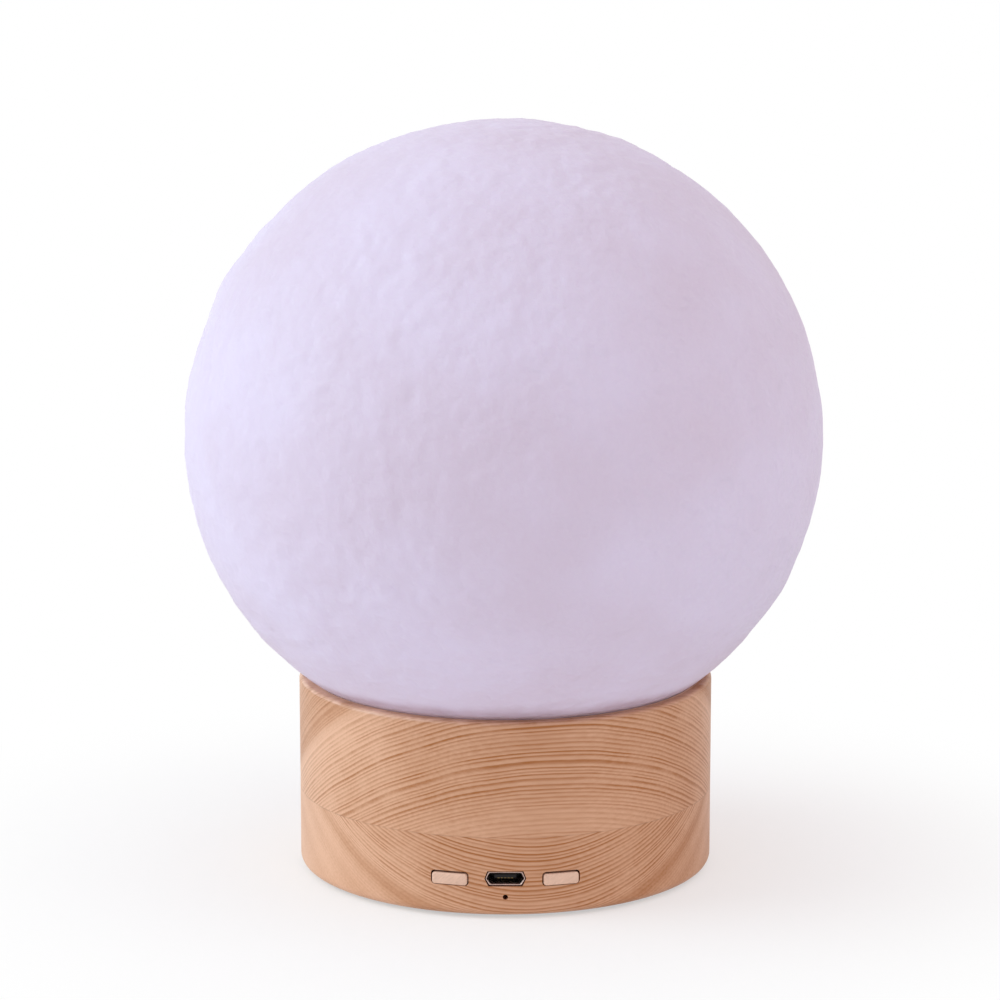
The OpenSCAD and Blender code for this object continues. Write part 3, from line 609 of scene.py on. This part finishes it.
woodLook = {
    "pale": (0.785, 0.47, 0.305),
    "dark": (0.385, 0.13, 0.024),
    "bump": 0.25,
    "depth": 0.00006,
    "swayScale": 17,
    "sway": 0.0022,              # how far the rings swing off flat, metres
    "toneFrom": 0.19,            # tone of a year listed as 0, and what one listed as 1 adds
    "toneSpan": 0.8,
    "sapwoodAndPaintedLightAcross": (-0.006, -0.036),
    "sapwoodAndPaintedLight": 0.27,             # how much paler the left side is, partly the log's paler outer side and partly painted light where the key light falls
    "heartwoodAndPaintedShadeAcross": (0.02, 0.038),
    "heartwoodAndPaintedShade": 0.1,            # and how much darker the right side is, partly the log's darker inner side and partly painted shade away from the light
    "seam": 0.0162,              # height of the thin broken line where the boards are glued
    "glueColour": (0.17, 0.07, 0.03),
    "glue": 0.24,
    "glueFades": (0.00005, 0.0002),    # between these distances above and below the seam
    "glueScale": 260,
    "glueBreaks": (0.38, 0.6, 0.35, 1.0),
    "paintedRimHighlight": (1.0, 0.70, 0.53),     # the rim's painted highlight
    "paintedRimHighlightAbove": (0.0381, 0.0384),
    "paintedRimHighlightOutside": (0.0380, 0.0383),
    "paintedRimHighlightScale": 300,
    "paintedRimHighlightPatches": (0.35, 0.65, 0.15, 0.65),
    "paintedRimHighlightAcross": (-0.014, -0.003, 1, 0.4),
    # painted light on the rim's inner edge, where the globe shades it
    "paintedLightInnerEdge": (0.0386, 0.0394, 0.85, 0),
    "scorchAndShade": (0.36, 0.14, 0.08),      # scorch and painted shade inside the slots, the port's hole and the pinhole
    "scorchAndShadeInside": (0.04088, 0.04097, 1, 0),
    "scorchAndShadeAbove": (0.0024, 0.0028),
    "scorchAndShadeBelow": (0.014, 0.015, 1, 0),
    "scorchAndShadeFront": (-0.034, -0.030, 1, 0),
}

# each board: which way its rings and fibres run, and by depth in mm how dark the wood is
# and how strong its fine lines are
boardValues = {
    "upper_board": {
        "across": (-0.144, 0.66, 1), "offset": 0.02646, "along": (0.977, 0.213, 0),
        "ringGap": 0.00072,
        "years": [(15, 0.27, 0.45), (20, 0.3, 0.5), (23, 0.4, 0.8), (25, 0.5, 1), (33, 0.54, 1),
                  (40, 0.48, 1), (46, 0.38, 0.85), (47.6, 0.2, 0.6), (48.4, 0.3, 0.12),
                  (49.4, 0.42, 0.2), (50.6, 0.86, 0.6), (51.8, 0.95, 0.6), (53, 0.85, 0.5),
                  (55, 0.8, 0.7), (57, 0.95, 0.7), (60, 0.8, 0.6), (63, 0.8, 0.7),
                  (67, 0.5, 0.8), (76, 0.4, 0.9), (84, 0.5, 0.7), (94, 0.42, 0.9)],
    },
    "lower_board": {
        "across": (0.086, -0.757, 1), "offset": -0.0315, "along": (0.996, 0.086, 0),
        "ringGap": 0.00062,
        "years": [(-62, 0.45, 0.9), (-54, 0.38, 0.8), (-46, 0.5, 0.9), (-38, 0.4, 0.7),
                  (-34, 0.28, 0.2), (-32, 0.35, 0.15), (-24, 0.22, 0.1), (-17, 0.4, 0.15),
                  (-13, 0.2, 0.1), (-9, 0.38, 0.15), (-6.4, 0.2, 0.2), (-4.2, 0.42, 0.25),
                  (-3, 0.7, 0.35), (-1.4, 0.56, 0.5), (-0.4, 0.34, 0.9), (5, 0.46, 0.9),
                  (14, 0.5, 0.9)],
    },
}


def addYears(tree, depth, years):
    # tone and line strength at a depth, from a board's list
    first, last = years[0][0], years[-1][0]
    along = addRange(tree, depth, first * mm, last * mm, smooth=False)
    ramp = addNode(tree, "ShaderNodeValToRGB", {0: along})
    stops = ramp.color_ramp.elements
    while len(stops) < len(years):
        stops.new(0.5)
    for stop, (at, tone, lines) in zip(stops, years):
        stop.position = (at - first) / (last - first)
        stop.color = (tone, lines, 0, 1)
    split = addNode(tree, "ShaderNodeSeparateColor", {0: ramp.outputs[0]})
    return split.outputs[0], split.outputs[1]


def woodMaterial(name, v, board):
    material, tree, shader, place = newMaterial(name)
    spot = addNode(tree, "ShaderNodeSeparateXYZ", {0: place}).outputs
    depth = addVectorMath(tree, "DOT_PRODUCT", place, board["across"])
    depth = addSwing(tree, addNoise(tree, place, v["swayScale"], 1), v["sway"], depth)
    depth = addMath(tree, "ADD", depth, board["offset"])
    tone, lines = addYears(tree, depth, board["years"])
    tone = addMath(tree, "MULTIPLY_ADD", tone, v["toneSpan"], v["toneFrom"])
    # left side painted paler and right side painted darker, partly sapwood and heartwood, partly
    # painted light and shade
    sapwoodAndPaintedLight = addRange(tree, spot["X"], *v["sapwoodAndPaintedLightAcross"], 0, v["sapwoodAndPaintedLight"])
    heartwoodAndPaintedShade = addRange(tree, spot["X"], *v["heartwoodAndPaintedShadeAcross"], 0, v["heartwoodAndPaintedShade"])
    tone = addMath(tree, "ADD", addMath(tree, "SUBTRACT", tone, sapwoodAndPaintedLight), heartwoodAndPaintedShade)
    effect = addNode(tree, "ShaderNodeGroup", {
        "Vector": place, "Depth": addMath(tree, "DIVIDE", depth, Vector(board["across"]).length),
        "Along Fibres": board["along"], "Ring Gap": board["ringGap"],
        "Line Strength": lines, "Tone": tone, "Pale": (*v["pale"], 1), "Dark": (*v["dark"], 1),
    }, node_tree=woodGrain)
    finishMaterial(tree, shader, effect, v["bump"], v["depth"])

    gap = addMath(tree, "ABSOLUTE", addMath(tree, "SUBTRACT", spot["Z"], v["seam"]))
    broken = addRange(tree, addNoise(tree, place, v["glueScale"], 2), *v["glueBreaks"])
    glue = addRange(tree, gap, *v["glueFades"], v["glue"], 0.0)
    glue = addMath(tree, "MULTIPLY", glue, broken)
    colour = addMix(tree, glue, effect.outputs["Color"], (*v["glueColour"], 1))

    # painted highlight along the rim, patchy and stronger on the left, and painted light along its
    # inner edge where the globe shades it
    level = addVectorMath(tree, "MULTIPLY", place, (1, 1, 0))
    outwards = addVectorMath(tree, "LENGTH", level)
    edge = addMath(tree, "MULTIPLY", addRange(tree, spot["Z"], *v["paintedRimHighlightAbove"]),
                   addRange(tree, outwards, *v["paintedRimHighlightOutside"]))
    patches = addNoise(tree, place, v["paintedRimHighlightScale"], 3)
    paintedLight = addMath(tree, "MULTIPLY", addRange(tree, patches, *v["paintedRimHighlightPatches"]),
                   addRange(tree, spot["X"], *v["paintedRimHighlightAcross"]))
    paintedLight = addMath(tree, "MAXIMUM", paintedLight, addRange(tree, outwards, *v["paintedLightInnerEdge"]))
    colour = addMix(tree, addMath(tree, "MULTIPLY", edge, paintedLight), colour, (*v["paintedRimHighlight"], 1))

    # inside the cut-outs at the front the wood is darkened, partly by scorch from the cutter and
    # partly by painted shade in these recesses
    # partly scorch, partly painted shade in the recesses
    scorchAndShade = addRange(tree, outwards, *v["scorchAndShadeInside"])
    for value, reach in ((spot["Z"], "scorchAndShadeAbove"), (spot["Z"], "scorchAndShadeBelow"),
                         (spot["Y"], "scorchAndShadeFront")):
        scorchAndShade = addMath(tree, "MULTIPLY", scorchAndShade, addRange(tree, value, *v[reach]))
    colour = addMix(tree, scorchAndShade, colour, (*v["scorchAndShade"], 1))
    tree.links.new(colour, shader.inputs["Base Color"])
    return material


for board, values in boardValues.items():
    dress(board, woodMaterial(board.replace("_board", "Wood"), woodLook, values))
print("wood ready")


buttonValues = {
    "faceSize": (6.92, 2.28),    # mm
    "faceAt": 41.2,              # distances from the lamp's axis
    "flangeFront": 37.506,
    "flangeBack": 36.706,
    "bossBack": 36.306,
    "overlap": 0.05,             # how far the three blocks run into one another
    "flangeSize": (8.6, 3.9),
    "bossSize": (2.2, 1.5),
    "corner": 0.55,
    "bossCorner": 0.15,
    "edge": 0.3,
    "sag": 0.15,                 # the face hangs this far below the middle of its slot
    "sagFrom": 37.706,           # and this is where that starts
    "height": 7.86,
    "turn": 15.128,              # degrees round from the front
}
buttonLook = {
    "colour": (0.80, 0.545, 0.41),
    "brushSlant": 0.9,           # radians
    "brushLength": 9,
    "brushScale": 3600,
    "brushLight": 0.42,
    "cloudScale": 480,
    "cloudLight": 0.14,
    "light": 0.72,
    "roughness": 0.32,
    "brushRoughness": 0.2,
    "bump": 0.35,
    "depth": 0.00003,
}


def buttonMaterial(v):
    # the face is brushed slantwise
    material, tree, shader, place = newMaterial("buttonSkin")
    turned = addNode(tree, "ShaderNodeMapping",
                     {"Vector": place, "Rotation": (0, v["brushSlant"], 0),
                      "Scale": (1, 1, v["brushLength"])}, vector_type="TEXTURE").outputs[0]
    brush = addNoise(tree, turned, v["brushScale"], 2, 0.6)
    cloud = addNoise(tree, place, v["cloudScale"], 2)
    level = addMath(tree, "MULTIPLY_ADD", cloud, v["cloudLight"], v["light"])
    level = addMath(tree, "MULTIPLY_ADD", brush, v["brushLight"], level)
    colour = addVectorMath(tree, "SCALE", v["colour"], scale=level)
    tree.links.new(colour, shader.inputs["Base Color"])
    rough = addMath(tree, "MULTIPLY_ADD", brush, v["brushRoughness"], v["roughness"])
    tree.links.new(rough, shader.inputs["Roughness"])
    raised = addNode(tree, "ShaderNodeBump",
                     {"Height": brush, "Strength": v["bump"], "Distance": v["depth"]})
    tree.links.new(raised.outputs["Normal"], shader.inputs["Normal"])
    return material


def runsBack(edge):
    # true for an edge that runs from front to back
    return abs(edge.verts[0].co.y - edge.verts[1].co.y) > 0.005 * mm


def bevelEdges(shape, edges, offset, segments):
    bmesh.ops.bevel(shape, geom=edges, offset=offset * mm, segments=segments, profile=0.5,
                    affect="EDGES", material=-1)


def addBlock(shape, size, middle):
    block = bmesh.ops.create_cube(shape, size=1)["verts"]
    bmesh.ops.scale(shape, verts=block, vec=[length * mm for length in size])
    bmesh.ops.translate(shape, verts=block, vec=[place * mm for place in middle])
    return block


def makeButton(v, side, material):
    # drawn at the front, then turned to its slot
    shape = bmesh.new()
    for (wide, high), back, front, corner in (
            (v["faceSize"], v["flangeFront"] - v["overlap"], v["faceAt"], v["corner"]),
            (v["flangeSize"], v["flangeBack"], v["flangeFront"], v["corner"]),
            (v["bossSize"], v["bossBack"], v["flangeBack"] + v["overlap"], v["bossCorner"])):
        block = addBlock(shape, (wide, front - back, high), (0, -(front + back) / 2, 0))
        along = [e for e in shape.edges if e.verts[0] in block and runsBack(e)]
        bevelEdges(shape, along, corner, 6)
        if front == v["faceAt"]:
            rim = [e for e in shape.edges if all(abs(p.co.y + front * mm) < 1e-6 for p in e.verts)]
            bevelEdges(shape, rim, v["edge"], 4)
    for vertex in shape.verts:
        if vertex.co.y < -v["sagFrom"] * mm:
            vertex.co.z -= v["sag"] * mm
    turn = Matrix.Rotation(math.radians(v["turn"]) * (-1 if side == "left" else 1), 3, "Z")
    bmesh.ops.translate(shape, verts=shape.verts, vec=(0, 0, v["height"] * mm))
    bmesh.ops.rotate(shape, verts=shape.verts, cent=(0, 0, 0), matrix=turn)
    addPiece(side + "Button", shape, material, side + "_button", "button", side + "_button_cap")


buttonSkin = buttonMaterial(buttonLook)
for side in ("left", "right"):
    makeButton(buttonValues, side, buttonSkin)
print("buttons made")


portValues = {
    "width": 6.9,                # the opening's own outline, mm
    "height": 1.9,
    "topCut": 0.55,
    "bottomCut": 0.75,
    "axisZ": 8.06,
    # outline grown by, and Y, from the back of the outside round the lip to the back of the inside
    "section": [(0.25, -35.1), (0.25, -40.2), (0.39, -40.56), (0.375, -40.64), (0.32, -40.69),
                (0.25, -40.7), (0.19, -40.66), (0.15, -40.58), (0.0, -40.2), (0.0, -35.1)],
    "corner": 0.16,
    "ear": (1.4, 1.6, 0.25),
    "earY": -38.3,
    "boardTop": 6.86,
}
portLook = {"colour": (0.62, 0.47, 0.42), "tarnish": (0.34, 0.25, 0.22), "roughness": 0.3}


def portOutline(v, grow, y):
    # the six corners of the flattened outline
    w, h = v["width"] / 2 + grow, v["height"] / 2 + grow
    upper, lower = w - v["topCut"], w - v["bottomCut"]
    corners = [(-upper, h), (-w, 0), (-lower, -h), (lower, -h), (w, 0), (upper, h)]
    return [Vector((x * mm, y * mm, (z + v["axisZ"]) * mm)) for x, z in corners]


def makePort(v, material):
    shape = bmesh.new()
    corners = portOutline(v, *v["section"][0])
    ring = [shape.verts.new(corner) for corner in corners]
    first = edges = [shape.edges.new(pair) for pair in zip(ring, ring[1:] + ring[:1])]
    for grow, y in v["section"][1:]:
        before, corners = corners, portOutline(v, grow, y)
        grown = bmesh.ops.extrude_edge_only(shape, edges=edges)["geom"]
        edges = [e for e in grown if isinstance(e, bmesh.types.BMEdge)]
        for vertex in [p for p in grown if isinstance(p, bmesh.types.BMVert)]:
            away = [(vertex.co - corner).length for corner in before]
            vertex.co = corners[away.index(min(away))]
    bmesh.ops.bridge_loops(shape, edges=first + edges)
    bevelEdges(shape, [e for e in shape.edges if runsBack(e)], v["corner"], 3)
    wide, long, thick = v["ear"]
    for side in (-1, 1):
        earX = side * (v["width"] / 2 - v["bottomCut"] + wide / 2)
        addBlock(shape, v["ear"], (earX, v["earY"] + long / 2, v["boardTop"] + thick / 2))
    addPiece("portShell", shape, material, "base", "port_metal", "port_shell")


makePort(portValues, metalMaterial("portNickel", **portLook))
print("port made")


# the finishes of everything else, and the nodes that each goes on
mouldedLooks = {
    "portPlastic": (["port_insert"], {
        "colour": (0.014, 0.012, 0.012), "roughness": 0.6, "specular": 0.25}),
    "statusLens": (["status_led"], {
        "colour": (0.75, 0.8, 0.74), "roughness": 0.15, "contrast": 0.05}),
    "plateSkin": (["bottom_plate"], {
        "colour": (0.033, 0.033, 0.035), "roughness": 0.55, "grain": 2400, "bump": 0.4}),
    "footRubber": (["rubber_feet"], {
        "colour": (0.02, 0.02, 0.02), "roughness": 0.8, "grain": 1800, "bump": 0.4}),
    "switchPlastic": (["left_switch_housing", "right_switch_housing"], {
        "colour": (0.04, 0.04, 0.045)}),
    "boardMask": (["control_board"], {
        "colour": (0.012, 0.1, 0.04), "roughness": 0.3, "contrast": 0.5, "mottle": 600}),
    "chipResin": (["charge_chip"], {
        "colour": (0.012, 0.012, 0.013), "roughness": 0.45, "grain": 6000}),
    "ferrite": (["power_inductor"], {
        "colour": (0.05, 0.05, 0.055), "roughness": 0.6, "grain": 5000}),
    "capacitorClay": (["chip_capacitors"], {
        "colour": (0.34, 0.22, 0.11), "grain": 5000}),
    "socketNylon": (["board_sockets", "battery_plug", "lamp_plug"], {
        "colour": (0.82, 0.79, 0.7)}),
    "padFoam": (["battery_pad"], {
        "colour": (0.02, 0.02, 0.022), "roughness": 0.9, "grain": 2500, "bump": 0.8}),
    "leadRed": (["battery_leads"], {
        "colour": (0.4, 0.012, 0.014), "roughness": 0.45}),
    "leadWhite": (["lamp_leads"], {
        "colour": (0.78, 0.78, 0.75), "roughness": 0.45}),
    "whiteMask": (["lamp_board"], {
        "colour": (0.8, 0.82, 0.84), "roughness": 0.35, "contrast": 0.08}),
    "phosphor": (["lamp_lights"], {
        "colour": (0.9, 0.72, 0.16), "roughness": 0.35}),
    "collarPlastic": (["globe_collar"], {
        "colour": (0.76, 0.76, 0.76)}),
}
metalLooks = {
    "contactGold": (["port_contacts"], {
        "colour": (0.6, 0.42, 0.17), "tarnish": (0.4, 0.28, 0.13)}),
    "screwZinc": (["plate_screws", "control_board_screws", "lamp_board_screws", "collar_screws"], {
        "colour": (0.62, 0.62, 0.64), "tarnish": (0.42, 0.41, 0.4), "roughness": 0.3}),
    "plungerBrass": (["left_switch_plunger", "right_switch_plunger"], {
        "colour": (0.78, 0.58, 0.28), "tarnish": (0.5, 0.36, 0.18), "roughness": 0.3}),
    "legTin": (["chip_legs"], {
        "colour": (0.68, 0.68, 0.68), "tarnish": (0.5, 0.5, 0.48), "roughness": 0.35}),
    "pouchFoil": (["battery_cell"], {
        "colour": (0.6, 0.62, 0.66), "tarnish": (0.5, 0.52, 0.55), "roughness": 0.32,
        "squeeze": (1, 1, 1), "marks": 500, "bump": 0.5}),
}

for makeMaterial, looks in ((mouldedMaterial, mouldedLooks), (metalMaterial, metalLooks)):
    for name, (dressed, look) in looks.items():
        material = makeMaterial(name, **look)
        for node in dressed:
            dress(node, material)
print("all nodes dressed")
